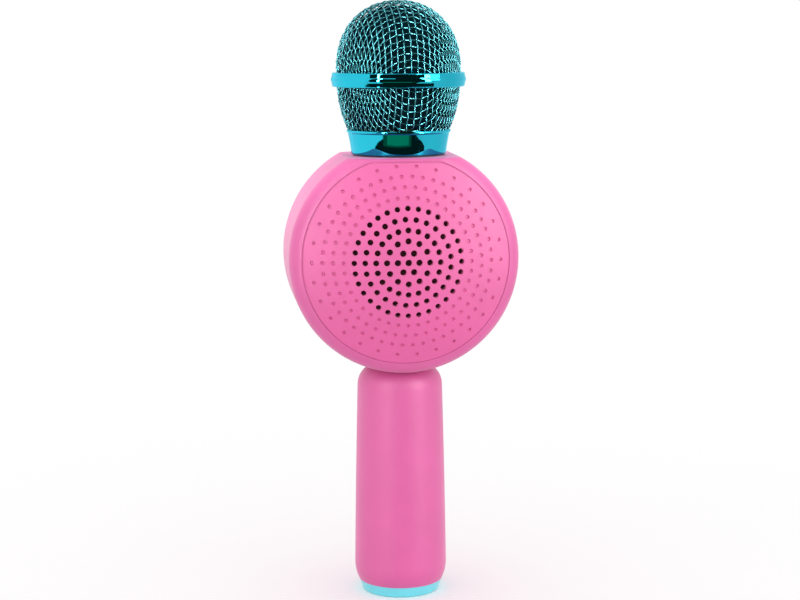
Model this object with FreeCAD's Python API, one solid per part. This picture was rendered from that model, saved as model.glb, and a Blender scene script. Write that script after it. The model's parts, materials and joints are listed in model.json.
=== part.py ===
"""Toy karaoke microphone: woven ball grille on a screw collar, round speaker housing and tapered handle.

Millimetres. +Z is up and the microphone stands on its base cap, whose flat underside lies on z = 0. The Z
axis is the axis of the handle, collar and grille. The speaker faces -Y and the control panel faces +Y. The
speaker housing is a round body whose own axis runs along Y at height DISC_Z.
"""

import FreeCAD
import Part

import math
import os

Vector = FreeCAD.Vector
UP = Vector(0, 0, 1)
BACK = Vector(0, 1, 0)

# ---- driving dimensions ------------------------------------------------------------------------------------
TOTAL_HEIGHT = 250.0
GAP = 0.05  # between fixed parts that only touch
RUNNING_GAP = 0.08  # round a part that turns or slides in another

# base cap
BASE_R, BASE_TOP_R, BASE_HEIGHT, BASE_EDGE = 16.5, 17.7, 4.6, 0.8
SPIGOT_R, SPIGOT_TOP, SPIGOT_WALL, SNAP = 15.7, 13.6, 1.5, 0.3
FLOOR_TOP, BASE_SCREW_X = 6.6, 9.0

# handle
HANDLE_R_FOOT, HANDLE_R_LOW, HANDLE_R_MID, HANDLE_R_TOP = 17.8, 19.55, 18.95, 17.95
HANDLE_Z_LOW, HANDLE_Z_MID, HANDLE_Z_TOP = 12.0, 47.7, 89.0
SHOULDER_R = 9.0
HANDLE_BORE_R = 16.2
HANDLE_NECK_R, HANDLE_NECK_BORE_R = 11.0, 8.5
HANDLE_FLANGE_R, HANDLE_FLANGE_Z, HANDLE_FLANGE_T = 14.0, 102.0, 2.5

# speaker housing, measured from its own axis
DISC_Z = 144.7
DISC_R = 47.6
FACE_R, FACE_Y = 42.9, 24.0  # where the rounded rim ends and each end plate's bulge begins
FRONT_RISE, REAR_RISE = 8.0, 5.0  # how far the two end plates bulge
RIM_SLOPE = 21.5  # degrees between the rim and the plate where they meet
TOP_FLAT, FACE_FLAT, FACE_CORNER = 41.6, 39.6, 4.0  # flats on top of the rim and of the end plates
TOP_EDGE = 1.2
CAVITY_R, CAVITY_Y, TOP_WALL = 45.4, 15.6, 2.0
SEAT_Y, SEAT_R = 17.6, 33.5
PLATE_T, PLATE_RIM_R = 2.2, 40.3
LAND, LINE_WIDTH, LINE_DEPTH = 0.3, 0.35, 0.35  # the rim's flat edge and the fine line inside it
SCREW_CIRCLE_R, BOSS_R, CLEAR_R, PILOT_R = 37.0, 3.2, 1.6, 1.35
SHELL_SCREW_ANGLES = (35, 145, 215, 248, 292, 325)
PLATE_SCREW_ANGLES = (0, 60, 120, 180, 270)

# speaker holes: rings of through holes, then rings of blind dimples
HOLE_PITCH, DIMPLE_PITCH = 4.39, 4.19
HOLE_COUNTS = (6, 12, 20, 25, 32)
DIMPLE_COUNTS = (40, 45, 50, 30)
HOLE_R_CENTRE, HOLE_R_EDGE = 1.35, 1.13
DIMPLE_R, DIMPLE_R_LAST, DIMPLE_R_BOTTOM, DIMPLE_DEPTH = 0.9, 0.82, 0.55, 0.7

# loudspeaker
FRAME_R, FRAME_FRONT_Y, FRAME_T = 26.0, -21.6, 1.0
WASHER_Y, YOKE_Y = -9.7, -2.4
SPEAKER_SCREW_R, SPEAKER_SCREW_ANGLES = 29.5, (45, 135, 225, 315)
POLE_R, COIL_R, COIL_T = 6.2, 6.5, 0.5

# control panel
PCB_R, PCB_Y, PCB_BACK, PCB_SCREW_R = 31.0, 13.2, 14.8, 27.5
KEY_SPACING, KEY_R, PLAY_KEY_R = 17.0, 5.2, 7.6
KEY_PROUD, KEY_CROWN, KEY_GAP, KEY_STEM_R = 1.3, 0.5, 0.2, 1.5
PLUNGER_R, PLUNGER_TOP, SWITCH_TOP = 1.75, PCB_BACK + 4.4, PCB_BACK + 3.5
KEYS = {
    "play": (0.0, 0.0, PLAY_KEY_R),
    "volume_up": (0.0, KEY_SPACING, KEY_R),
    "volume_down": (0.0, -KEY_SPACING, KEY_R),
    "next": (-KEY_SPACING, 0.0, KEY_R),
    "previous": (KEY_SPACING, 0.0, KEY_R),
}
SLIDER_Z, SLIDER_TRAVEL, KNOB_HALF = -27.5, 3.0, 1.4
LENS_Z, LENS_R = 27.0, 1.25

# charging socket, in the right-hand side of the rim
SOCKET_Y, SOCKET_W, SOCKET_H, SOCKET_LENGTH, SOCKET_SINK = 7.8, 8.94, 3.2, 7.3, 1.2

# screw neck and capsule
NECK_R, NECK_TOP, NECK_BORE_R, NECK_FLANGE_R = 15.2, 194.6, 12.5, 19.3
THREAD_PITCH, THREAD_DEPTH = 2.2, 0.5
CAPSULE_POST_R, CAPSULE_POST_TOP, CAPSULE_POST_BORE_R = 6.0, 204.0, 3.0
BOOT_R, CAPSULE_R, CAPSULE_Z, CAPSULE_H = 8.0, 4.85, 208.0, 6.0

# collar and grille
GASKET_T = 0.6
COLLAR_R, COLLAR_MID_R, COLLAR_TOP_R, COLLAR_LIP_R, COLLAR_LIP_Z = 19.75, 20.25, 21.2, 21.7, 196.2
RING_R, RING_EDGE_R, RING_Z, RING_HALF = 28.1, 27.55, 217.5, 2.95
MESH_T = 1.0
LOW_MESH_R, LOW_MESH_DROP, LOW_MESH_Z = 25.7, 36.2, 217.0
TOP_MESH_R, TOP_MESH_Z, TOP_MESH_POWER = 26.0, 222.0, 2.15
CLAMP_RING_T, CLAMP_RING_HALF = 0.6, 2.6
FOAM_GAP, FOAM_T, FOAM_LOW = 1.3, 4.0, 198.0

# battery
CELL_R, CELL_LENGTH, CELL_Z = 9.1, 65.0, 11.5

# wiring: where the leads plug in on the main board, as (x, height above the housing's axis)
PLUG_DEPTH, PLUG_HALF_W, PLUG_HALF_H = 4.5, 3.5, 2.0
BATTERY_PLUG, CAPSULE_PLUG, SPEAKER_PLUG, CHARGE_PLUG = (0.0, -20.0), (0.0, 20.0), (-21.5, -3.0), (22.0, 0.0)
LEAD_R, LEAD_SPACING = 0.5, 1.2

TOP_Z = DISC_Z + TOP_FLAT
COLLAR_Z = TOP_Z + GASKET_T
CHARGE_BOARD = ((37.5, SOCKET_Y - 2.9, DISC_Z - 8.0), (CAVITY_R - 1.5, SOCKET_Y - 1.7, DISC_Z + 8.0))


# ---- helpers -----------------------------------------------------------------------------------------------
def polar(radius, angle):
    """A point (x, z) on a circle round the housing's axis, with the angle from +X towards +Z in degrees."""
    turn = math.radians(angle)
    return radius * math.cos(turn), DISC_Z + radius * math.sin(turn)


def wire_of(points, to_space):
    """A closed wire through points. A point given as (mid, end) is reached by an arc through mid."""
    edges = []
    start = to_space(points[0])
    for step in points[1:] + [points[0]]:
        if isinstance(step[0], tuple):
            mid, end = to_space(step[0]), to_space(step[1])
            edges.append(Part.Arc(start, mid, end).toShape())
        else:
            end = to_space(step)
            if (end - start).Length > 1e-7:
                edges.append(Part.LineSegment(start, end).toShape())
        start = end
    return Part.Wire(edges)


def turned(points):
    """Solid of revolution about Z from (radius, z) points."""
    wire = wire_of(points, lambda p: Vector(p[0], 0, p[1]))
    return Part.Face(wire).revolve(Vector(0, 0, 0), UP, 360)


def turned_disc(points):
    """Solid of revolution about the housing's axis from (radius, y) points."""
    wire = wire_of(points, lambda p: Vector(p[0], p[1], DISC_Z))
    return Part.Face(wire).revolve(Vector(0, 0, DISC_Z), BACK, 360)


def post(radius, low, high, x=0.0, y=0.0):
    """Upright cylinder."""
    return Part.makeCylinder(radius, high - low, Vector(x, y, low), UP)


def pin(radius, low, high, x=0.0, z=DISC_Z):
    """Cylinder along Y."""
    return Part.makeCylinder(radius, high - low, Vector(x, low, z), BACK)


def block(low, high):
    """Box between two corners."""
    size = [b - a for a, b in zip(low, high)]
    return Part.makeBox(*size, Vector(*low))


def ring_along_y(inner, outer, low, high):
    return pin(outer, low, high).cut(pin(inner, low - 1, high + 1))


def halves(keep_front):
    """Box that covers everything in front of, or behind, the parting plane."""
    reach = 80.0
    span = (-reach, 0.0) if keep_front else (0.0, reach)
    return block((-reach, span[0], 0), (reach, span[1], TOTAL_HEIGHT))


def flat_sided_disc(radius, flat, corner, low, high):
    """Prism along Y: a circle with one flat on top, whose two corners are rounded."""
    drop = flat - corner
    corner_x = math.sqrt((radius - corner) ** 2 - drop**2)
    scale = radius / (radius - corner)
    meet_x, meet_z = corner_x * scale, drop * scale
    turn = (math.atan2(drop, corner_x) + math.pi / 2) / 2
    bulge_x, bulge_z = corner_x + corner * math.cos(turn), drop + corner * math.sin(turn)
    outline = [
        (-meet_x, meet_z),
        ((0.0, -radius), (meet_x, meet_z)),
        ((bulge_x, bulge_z), (corner_x, flat)),
        (-corner_x, flat),
        ((-bulge_x, bulge_z), (-meet_x, meet_z)),
    ]
    wire = wire_of(outline, lambda p: Vector(p[0], low, DISC_Z + p[1]))
    return Part.Face(wire).extrude(Vector(0, high - low, 0))


def lead(points, radius):
    """Round wire along straight runs joined by arcs as large as the runs allow."""
    points = [Vector(*p) for p in points]
    edges, radii, start = [], [], points[0]
    for before, corner, after in zip(points, points[1:], points[2:]):
        back, ahead = before - corner, after - corner
        cut = 0.45 * min(back.Length, ahead.Length)
        half_turn = (math.pi - back.getAngle(ahead)) / 2
        arc_r = cut / math.tan(half_turn)
        back.normalize()
        ahead.normalize()
        inward = (back + ahead).normalize()
        first, last = corner + back * cut, corner + ahead * cut
        middle = corner + inward * (arc_r / math.cos(half_turn) - arc_r)
        edges.append(Part.LineSegment(start, first).toShape())
        edges.append(Part.Arc(first, middle, last).toShape())
        radii.append(round(arc_r, 1))
        start = last
    edges.append(Part.LineSegment(start, points[-1]).toShape())
    print("bend radii of a lead", 2 * radius, "mm thick:", radii)
    circle = Part.Wire(Part.makeCircle(radius, points[0], points[1] - points[0]))
    return Part.Wire(edges).makePipeShell([circle], True, False)


def screw(head_r, head_t, shaft_r, length, seat, towards):
    """Pan-head screw with a cross recess, its head's underside at seat and its shaft running towards."""
    axis = Vector(*towards)
    seat = Vector(*seat)
    head = Part.makeCylinder(head_r, head_t, seat - axis * head_t, axis)
    shaft = Part.makeCylinder(shaft_r, length, seat, axis)
    slot_w, slot_l, slot_depth = 0.3 * head_r, 1.3 * head_r, 0.55 * head_t
    body = head.fuse(shaft)
    turn = FreeCAD.Rotation(UP, axis)
    for size in ((slot_w, slot_l), (slot_l, slot_w)):
        arm = Part.makeBox(size[0], size[1], slot_depth, Vector(-size[0] / 2, -size[1] / 2, 0))
        arm.Placement = FreeCAD.Placement(seat - axis * head_t, turn)
        body = body.cut(arm)
    return body


def save(name, *solids):
    """Writes one node, which may hold several separate solids."""
    solids = [s.removeSplitter() for s in solids]
    for s in solids:
        if not s.isValid() or not s.Solids:
            print("not a valid solid in", name)
    shape = solids[0] if len(solids) == 1 else Part.makeCompound(solids)
    shape.exportStep(f"parts/{name}.step")


# ---- speaker housing ---------------------------------------------------------------------------------------
def rim_solid(grow=0.0):
    """The round housing without its end plates' bulge or its flat top, or that solid grown by grow."""
    turn = math.radians(90 - RIM_SLOPE)
    radius = (DISC_R - FACE_R) / (1 - math.cos(turn))
    centre_r, centre_y = DISC_R - radius, FACE_Y - radius * math.sin(turn)
    radius += grow
    rim = centre_r + radius
    bulge_r, bulge_y = centre_r + radius * math.cos(turn / 2), centre_y + radius * math.sin(turn / 2)
    end_r, end_y = centre_r + radius * math.cos(turn), centre_y + radius * math.sin(turn)
    return turned_disc(
        [
            (0, -end_y),
            (end_r, -end_y),
            ((bulge_r, -bulge_y), (rim, -centre_y)),
            (rim, centre_y),
            ((bulge_r, bulge_y), (end_r, end_y)),
            (0, end_y),
        ]
    )


def housing_outside():
    body = rim_solid().cut(block((-60, -60, TOP_Z), (60, 60, TOTAL_HEIGHT)))
    top_edges = [e for e in body.Edges if all(abs(v.Z - TOP_Z) < 1e-6 for v in e.Vertexes)]
    return body.makeFillet(TOP_EDGE, top_edges)


def shell(front):
    """Half of the housing: rim, end plate's seat, screw bosses and half of the holes for both necks."""
    side = -1 if front else 1

    def across(shape_of, near, far):
        """A shape along Y between two distances from the parting plane, on this half's side."""
        low, high = sorted((side * near, side * far))
        return shape_of(low, high)

    def hole(radius, near, far, x=0.0, z=DISC_Z):
        return across(lambda low, high: pin(radius, low, high, x, z), near, far)

    below_top = block((-60, -60, 0), (60, 60, TOP_Z - TOP_WALL))
    cavity = hole(CAVITY_R, 0, CAVITY_Y).common(below_top)
    seat_size = FACE_R - LAND, FACE_FLAT + LINE_WIDTH, FACE_CORNER
    seat = across(lambda low, high: flat_sided_disc(*seat_size, low, high), SEAT_Y, FACE_Y + 1)
    body = housing_outside().common(halves(front)).cut(cavity)
    body = body.cut(hole(SEAT_R, CAVITY_Y - 1, FACE_Y)).cut(seat)

    deep = CAVITY_Y + 0.5
    for angle in SHELL_SCREW_ANGLES:
        body = body.fuse(hole(BOSS_R, GAP / 2, deep, *polar(SCREW_CIRCLE_R, angle)))
    pad = post(HANDLE_NECK_R + 4.5, DISC_Z - DISC_R + 1, HANDLE_FLANGE_Z - GAP)
    body = body.fuse(pad.common(hole(CAVITY_R + 1, GAP / 2, deep)))

    for angle in SHELL_SCREW_ANGLES:
        radius, reach = (PILOT_R, 13.0) if front else (CLEAR_R, FACE_Y)
        body = body.cut(hole(radius, -1, reach, *polar(SCREW_CIRCLE_R, angle)))
    if front:
        for angle in PLATE_SCREW_ANGLES:
            body = body.cut(hole(CLEAR_R, CAVITY_Y - 1, FACE_Y, *polar(SCREW_CIRCLE_R, angle)))
    else:
        body = body.cut(socket_slot(0.25, CAVITY_R - 4, DISC_R + 2)).fuse(charge_rails())
    body = body.cut(post(HANDLE_NECK_R + GAP, DISC_Z - DISC_R - 2, HANDLE_FLANGE_Z + 1))
    return body.cut(post(NECK_R + GAP, TOP_Z - 4, TOP_Z + 2))


def socket_slot(grow, near, far):
    """Rounded slot along X, as the charging plug's outline grown by grow."""
    half_h = SOCKET_H / 2 + grow
    half_flat = SOCKET_W / 2 + grow - half_h
    low, high = (near, SOCKET_Y - half_h, DISC_Z - half_flat), (far, SOCKET_Y + half_h, DISC_Z + half_flat)
    ends = []
    for z in (low[2], high[2]):
        ends.append(Part.makeCylinder(half_h, far - near, Vector(near, SOCKET_Y, z), Vector(1, 0, 0)))
    return block(low, high).fuse(ends)


def charge_rails():
    """Two grooved rails on the rear shell's wall that hold the charging board."""
    low, high = CHARGE_BOARD
    rails = []
    for side in (-1, 1):
        edge = DISC_Z + side * (high[2] - DISC_Z)
        near, far = sorted((edge - side * 1.2, edge + side * 1.5))
        rail = block((39.0, low[1] - 1.5, near), (CAVITY_R + 0.6, high[1] + 1.5, far))
        near, far = sorted((edge - side * 3.0, edge + side * GAP))
        groove = block((low[0] - 2, low[1] - GAP, near), (high[0] + GAP, high[1] + GAP, far))
        rails.append(rail.cut(groove))
    return rails[0].fuse(rails[1]).common(pin(CAVITY_R + 1, 0, CAVITY_Y))


def dome_radius(rise):
    return (FACE_R**2 + rise**2) / (2 * rise)


def dome(front, rise, sink=0.0):
    """Ball whose cap is the end plate's outside, or that surface sunk inwards by sink."""
    ball_r = dome_radius(rise)
    side = -1 if front else 1
    centre_y = side * (FACE_Y + rise - ball_r)
    return Part.makeSphere(ball_r - sink, Vector(0, centre_y, DISC_Z))


def dome_y(rise, radius, sink=0.0):
    """Distance |y| of the end plate's surface at a radius from the housing's axis."""
    ball_r = dome_radius(rise)
    return FACE_Y + rise - ball_r + math.sqrt((ball_r - sink) ** 2 - radius**2)


def end_plate(front, rise):
    """Bulging plate whose rim rests on the shell's seat, stepped down at its edge for the line round it."""
    side = -1 if front else 1

    def slab(edge, flat, near):
        low, high = sorted((side * near, side * (FACE_Y + rise + 1)))
        return flat_sided_disc(edge, flat, FACE_CORNER, low, high)

    edge = FACE_R - LAND - GAP
    step = slab(edge, FACE_FLAT + LINE_WIDTH - GAP, SEAT_Y).common(dome(front, rise, LINE_DEPTH))
    face = slab(edge + GAP - LINE_WIDTH, FACE_FLAT, SEAT_Y).common(dome(front, rise))
    hollow = slab(PLATE_RIM_R, FACE_FLAT - 2.0, SEAT_Y - 1).common(dome(front, rise, PLATE_T))
    return step.fuse(face).cut(hollow)


def speaker_grille():
    """Front plate with its screw bosses and the ring that clamps the loudspeaker's frame."""
    plate = end_plate(True, FRONT_RISE)
    boss_r, pilot_r = 2.6, 1.2
    bosses = [(SCREW_CIRCLE_R, a, -SEAT_Y, -21.5) for a in PLATE_SCREW_ANGLES]
    bosses += [(SPEAKER_SCREW_R, a, FRAME_FRONT_Y + FRAME_T, -23.6) for a in SPEAKER_SCREW_ANGLES]
    for radius, angle, end, bottom in bosses:
        x, z = polar(radius, angle)
        plate = plate.fuse(pin(boss_r, -dome_y(FRONT_RISE, radius, PLATE_T / 2), end, x, z))
        plate = plate.cut(pin(pilot_r, bottom, end + 1, x, z))
    clamp = ring_along_y(FRAME_R - 2.6, FRAME_R - 0.4, -30, FRAME_FRONT_Y - 0.9)
    plate = plate.fuse(clamp.common(dome(True, FRONT_RISE, PLATE_T / 2)))
    return plate.cut(Part.makeCompound(speaker_holes()))


def speaker_holes():
    """Through holes in rings over the loudspeaker, and cone-bottomed dimples in the rings outside them."""
    through = len(HOLE_COUNTS)
    tools = [bore_tool(0.0, 180.0, HOLE_R_CENTRE)]
    for n, count in enumerate(HOLE_COUNTS, 1):
        hole_r = HOLE_R_CENTRE + (HOLE_R_EDGE - HOLE_R_CENTRE) * n / through
        tools += [bore_tool(n * HOLE_PITCH, angle, hole_r) for angle in ring_angles(count)]
    for n, count in enumerate(DIMPLE_COUNTS, 1):
        radius = through * HOLE_PITCH + n * DIMPLE_PITCH
        mouth_r = DIMPLE_R_LAST if n == len(DIMPLE_COUNTS) else DIMPLE_R
        tools += [dimple_tool(radius, angle, mouth_r) for angle in ring_angles(count)]
    return tools


def ring_angles(count):
    return [180.0 - 360.0 * i / count for i in range(count)]


def face_point(radius, angle):
    """Point on the front plate's surface, and the direction straight out of it."""
    x, z = polar(radius, angle)
    point = Vector(x, -dome_y(FRONT_RISE, radius), z)
    centre = Vector(0, -(FACE_Y + FRONT_RISE - dome_radius(FRONT_RISE)), DISC_Z)
    return point, (point - centre).normalize()


def bore_tool(radius, angle, hole_r):
    """Cutter for one through hole, square to the plate, with a small chamfer at its mouth."""
    mouth, outward = face_point(radius, angle)
    chamfer, height, depth = 0.12, 0.6, 2 * PLATE_T
    shaft = Part.makeCylinder(hole_r, depth, mouth - outward * depth, outward)
    flare = Part.makeCone(hole_r, hole_r + height, height, mouth - outward * chamfer, outward)
    return shaft.fuse(flare)


def dimple_tool(radius, angle, mouth_r):
    """Cutter for one blind dimple with a small flat bottom."""
    mouth, outward = face_point(radius, angle)
    pit = Part.makeCone(DIMPLE_R_BOTTOM, mouth_r, DIMPLE_DEPTH, mouth - outward * DIMPLE_DEPTH, outward)
    above = Part.makeCone(mouth_r, mouth_r + DIMPLE_DEPTH, DIMPLE_DEPTH, mouth, outward)
    return pit.fuse(above)


def screws(name, head_r, head_t, shaft_r, length, seats, towards):
    """One node holding several identical screws."""
    save(name, *[screw(head_r, head_t, shaft_r, length, seat, towards) for seat in seats])


def around(radius, angles, y):
    """Points round the housing's axis at one depth."""
    spots = [polar(radius, angle) for angle in angles]
    return [(x, y, z) for x, z in spots]


def housing():
    save("front_shell", shell(True))
    save("rear_shell", shell(False))
    save("speaker_grille", speaker_grille())
    forwards = (0, -1, 0)
    seats = around(SCREW_CIRCLE_R, SHELL_SCREW_ANGLES, SEAT_Y)
    screws("shell_screws", 2.6, 1.4, 1.3, 28.5, seats, forwards)
    seats = around(SCREW_CIRCLE_R, PLATE_SCREW_ANGLES, -CAVITY_Y)
    screws("grille_screws", 2.4, 1.6, 1.15, 5.6, seats, forwards)


# ---- loudspeaker -------------------------------------------------------------------------------------------
def basket():
    """Stamped frame: front flange, six windows, a shelf for the spider, and a tag for the leads."""
    front, back = FRAME_FRONT_Y, WASHER_Y
    frame = turned_disc(
        [
            (23.0, front),
            (FRAME_R, front),
            (FRAME_R, front + FRAME_T),
            (23.4, front + FRAME_T),
            (17.6, back),
            (7.4, back),
            (7.4, back - 0.8),
            (15.6, back - 0.8),
            (15.6, back - 2.3),
            (17.6, back - 2.3),
        ]
    )
    for i in range(6):
        window = block((11.0, -18.8, DISC_Z - 4.2), (30.0, -12.6, DISC_Z + 4.2))
        window.rotate(Vector(0, 0, DISC_Z), BACK, 60 * i)
        frame = frame.cut(window)
    return frame.fuse(block((-21.8, back - 1.2, DISC_Z - 3.0), (-17.0, back - 0.4, DISC_Z + 3.0)))


def dust_cap(radius, rise, thickness, edge_y):
    """Thin cap of a ball, its edge resting on the cone."""
    ball_r = (radius**2 + rise**2) / (2 * rise)
    centre = Vector(0, edge_y - rise + ball_r, DISC_Z)
    skin = Part.makeSphere(ball_r, centre).cut(Part.makeSphere(ball_r - thickness, centre))
    return skin.common(pin(radius + 1, edge_y - rise - 1, edge_y))


def loudspeaker():
    front, coil_out = FRAME_FRONT_Y, COIL_R + COIL_T
    save("speaker_basket", basket())
    save("speaker_washer", ring_along_y(coil_out + 0.3, 16.0, WASHER_Y, WASHER_Y + 1.8))
    save("speaker_magnet", ring_along_y(9.0, 18.0, WASHER_Y + 1.8, YOKE_Y))
    save("speaker_yoke", pin(16.0, YOKE_Y, YOKE_Y + 1.8).fuse(pin(POLE_R, WASHER_Y - 0.2, YOKE_Y + 0.4)))

    inner = coil_out + GAP
    save("voice_coil", ring_along_y(COIL_R, coil_out, -16.4, -8.6))
    save("speaker_cone", turned_disc([(inner, -15.6), (19.6, -20.2), (19.6, -20.7), (inner, -16.2)]))
    save("dust_cap", dust_cap(8.2, 1.7, 0.4, -16.9))
    lip, rim = front - 0.4, front - GAP
    roll = [(19.95, lip), ((21.4, lip - 1.5), (22.85, lip)), (FRAME_R - 0.6, lip), (FRAME_R - 0.6, rim)]
    roll += [(22.5, rim), ((21.4, lip - 1.1), (20.3, rim)), (20.3, rim + 0.75), (19.95, rim + 0.75)]
    save("speaker_surround", turned_disc(roll))
    ridges = []
    for i in range(7):
        ridges.append((coil_out + 0.3 + 1.65 * i, -13.2 - 0.35 * (-1) ** i))
    back = [(r, y + 0.35) for r, y in reversed(ridges)]
    save("speaker_spider", turned_disc(ridges + back))
    save("speaker_gasket", ring_along_y(FRAME_R - 2.6, FRAME_R - 0.4, front - 0.85, lip - GAP))
    cloth = dome(True, FRONT_RISE, PLATE_T + 0.1).cut(dome(True, FRONT_RISE, PLATE_T + 0.4))
    save("grille_cloth", cloth.common(pin(FRAME_R - 2.75, -35, -20)))
    seats = around(SPEAKER_SCREW_R, SPEAKER_SCREW_ANGLES, front + FRAME_T + GAP)
    screws("speaker_screws", 4.1, 1.2, 1.15, 2.9, seats, (0, -1, 0))


# ---- control panel -----------------------------------------------------------------------------------------
def prism(outline, x, z, low, high):
    """Prism along Y from (across, up) points, as seen from behind the microphone."""
    corners = [Vector(x - across, low, z + up) for across, up in outline]
    return Part.Face(Part.makePolygon(corners + corners[:1])).extrude(Vector(0, high - low, 0))


def bar(width, height, across=0.0):
    w, h = width / 2, height / 2
    return [(across - w, -h), (across + w, -h), (across + w, h), (across - w, h)]


def arrow(size, across):
    return [(across, -size), (across, size), (across + 1.6 * size, 0)]


def symbol(name):
    """Outlines of the key's sunk symbol."""
    if name == "play":
        return [arrow(2.4, -4.4), bar(1.2, 4.8, 1.6), bar(1.2, 4.8, 4.0)]
    if name == "volume_up":
        return [bar(5.0, 1.1), bar(1.1, 5.0)]
    if name == "volume_down":
        return [bar(5.0, 1.1)]
    arrows = [arrow(1.7, -2.8), arrow(1.7, -0.1)]
    if name == "next":
        return arrows
    return [[(-across, up) for across, up in outline] for outline in arrows]


def key_surface(x, up):
    """Distance |y| of the rear plate's surface under a key's centre."""
    return dome_y(REAR_RISE, math.hypot(x, up))


def key(name):
    """Key cap with a crowned top, a retaining flange and a stem down to its switch."""
    x, up, radius = KEYS[name]
    z, top = DISC_Z + up, key_surface(x, up) + KEY_PROUD
    flange_r = radius + 0.9
    flange_top = dome_y(REAR_RISE, math.hypot(x, up) + flange_r, PLATE_T) - 0.15
    crown_r = (radius**2 + KEY_CROWN**2) / (2 * KEY_CROWN)
    crown = Part.makeSphere(crown_r, Vector(x, top - crown_r, z))
    cap = pin(radius, flange_top - 1.0, top, x, z).common(crown)
    cap = cap.fuse(pin(flange_r, flange_top - 1.0, flange_top, x, z))
    cap = cap.fuse(pin(KEY_STEM_R, PLUNGER_TOP + 0.02, flange_top - 0.5, x, z))
    for outline in symbol(name):
        cap = cap.cut(prism(outline, x, z, top - KEY_CROWN - 0.35, top + 1))
    return cap


def snap_hook():
    """Hook with a sloped catch that grips the inside edge of the rear shell's seat."""
    low, face = CAVITY_Y - 1.2, CAVITY_Y - 0.1
    arm = block((SEAT_R - 1.6, low, DISC_Z - 3), (SEAT_R - 0.2, dome_y(REAR_RISE, SEAT_R, 1), DISC_Z + 3))
    outline = [(SEAT_R - 0.5, face), (SEAT_R + 0.9, face), (SEAT_R + 0.3, low), (SEAT_R - 0.5, low)]
    catch = Part.Face(wire_of(outline, lambda p: Vector(p[0], p[1], DISC_Z - 3))).extrude(Vector(0, 0, 6))
    return arm.fuse(catch)


def control_plate():
    """Rear plate with a dished hole for each key, a dished slot for the slider, and four standoffs."""
    plate = end_plate(False, REAR_RISE)
    for x, up, radius in KEYS.values():
        surface, hole_r = key_surface(x, up), radius + KEY_GAP
        dish = Part.makeCone(hole_r, hole_r + 1.2, 1.2, Vector(x, surface - 0.9, DISC_Z + up), BACK)
        plate = plate.cut(pin(hole_r, SEAT_Y, 40, x, DISC_Z + up)).cut(dish)
    for angle in SPEAKER_SCREW_ANGLES:
        x, z = polar(PCB_SCREW_R, angle)
        plate = plate.fuse(pin(2.6, PCB_BACK, dome_y(REAR_RISE, PCB_SCREW_R, PLATE_T / 2), x, z))
        plate = plate.cut(pin(1.2, PCB_Y, PCB_BACK + 4.5, x, z))
    for i in range(4):
        hook = snap_hook()
        hook.rotate(Vector(0, 0, DISC_Z), BACK, 90 * i)
        plate = plate.fuse(hook)
    z, surface = DISC_Z + SLIDER_Z, dome_y(REAR_RISE, abs(SLIDER_Z))
    half = KNOB_HALF + KEY_GAP
    plate = plate.cut(block((-half, SEAT_Y, z - half), (half + SLIDER_TRAVEL, 40, z + half)))
    dish = block((-4.0, surface - 0.8, z - 2.8), (4.0 + SLIDER_TRAVEL, 40, z + 2.8))
    upright = [e for e in dish.Edges if abs(e.tangentAt(e.FirstParameter).y) > 0.9]
    plate = plate.cut(dish.makeFillet(1.2, upright))
    return plate.cut(pin(LENS_R + GAP, SEAT_Y, 40, 0, DISC_Z + LENS_Z))


def tact_switch(x, z):
    """Square switch case with a round well for its plunger."""
    case = block((x - 3, PCB_BACK, z - 3), (x + 3, SWITCH_TOP, z + 3))
    return case.cut(pin(PLUNGER_R + RUNNING_GAP, PCB_BACK + 0.6, SWITCH_TOP + 1, x, z))


def power_switch():
    """Slide switch on the board, and the knob that works it through a slot in the panel."""
    z, surface = DISC_Z + SLIDER_Z, dome_y(REAR_RISE, abs(SLIDER_Z))
    case = block((-4.5, PCB_BACK, z - 2.0), (4.5 + SLIDER_TRAVEL, SWITCH_TOP, z + 2.0))
    track = block((-1.4, PCB_BACK + 1.2, z - 1.1), (1.4 + SLIDER_TRAVEL, SWITCH_TOP + 1, z + 1.1))
    save("power_switch_case", case.cut(track))
    shoe_top = dome_y(REAR_RISE, math.hypot(6.5, abs(SLIDER_Z) + 2.6), PLATE_T) - 0.2
    top = surface + 0.9
    slider = block((-KNOB_HALF, shoe_top - 0.5, z - KNOB_HALF), (KNOB_HALF, top, z + KNOB_HALF))
    slider = slider.fuse(block((-3.2, shoe_top - 1.1, z - 2.4), (3.2, shoe_top, z + 2.4)))
    slider = slider.fuse(block((-1.2, PCB_BACK + 1.6, z - 0.9), (1.2, shoe_top - 0.5, z + 0.9)))
    for x in (-0.8, 0.0, 0.8):
        slider = slider.cut(block((x - 0.2, top - 0.4, z - 2), (x + 0.2, top + 1, z + 2)))
    save("power_slider", slider)


def plug_block(spot):
    x, z = spot[0], DISC_Z + spot[1]
    low = (x - PLUG_HALF_W, PCB_Y - PLUG_DEPTH, z - PLUG_HALF_H)
    return block(low, (x + PLUG_HALF_W, PCB_Y, z + PLUG_HALF_H))


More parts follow.
